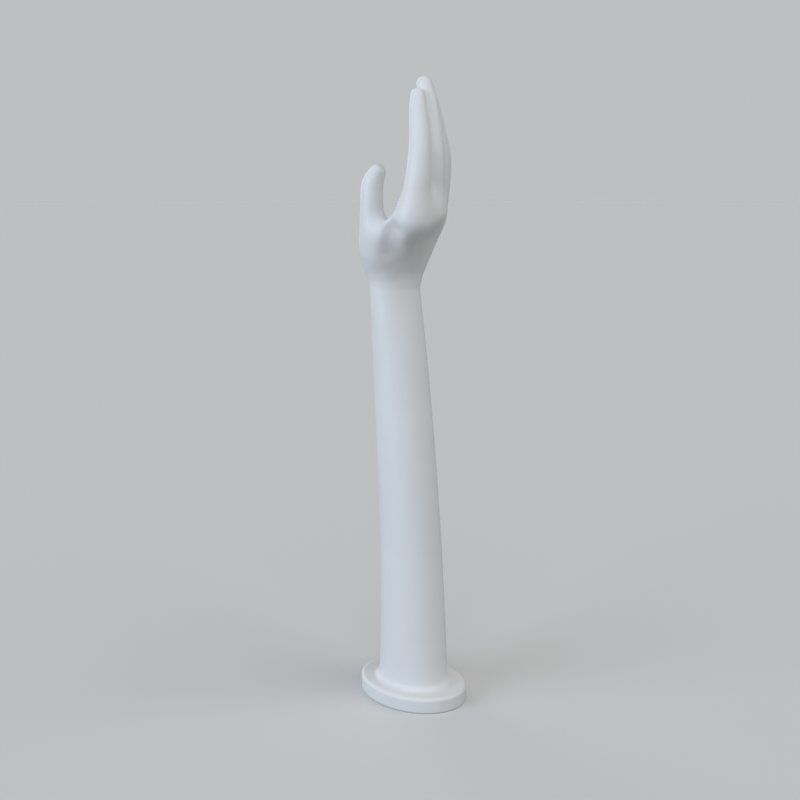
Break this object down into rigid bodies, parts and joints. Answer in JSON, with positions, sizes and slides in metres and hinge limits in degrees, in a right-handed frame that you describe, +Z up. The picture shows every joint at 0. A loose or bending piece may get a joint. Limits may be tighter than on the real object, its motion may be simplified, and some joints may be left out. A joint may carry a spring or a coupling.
{
  "type": "mannequin hand",
  "caption": "Upright display hand and forearm moulded in one piece on a flat oval foot, fingers together and thumb apart in an open grip.",
  "frame": {"origin": "middle of the oval foot's flat underside", "axes": "+Z up along the forearm towards the fingertips, +X towards the thumb side of the hand, +Y towards the back of the hand, so the palm faces -Y and the oval foot is longest along Y"},
  "size_m": [0.081, 0.105, 0.5404],
  "materials": {
    "moulding": "smooth satin white moulded plastic"
  },
  "bodies": {
    "root": {"display_hand": "moulding"}
  },
  "joints": []
}
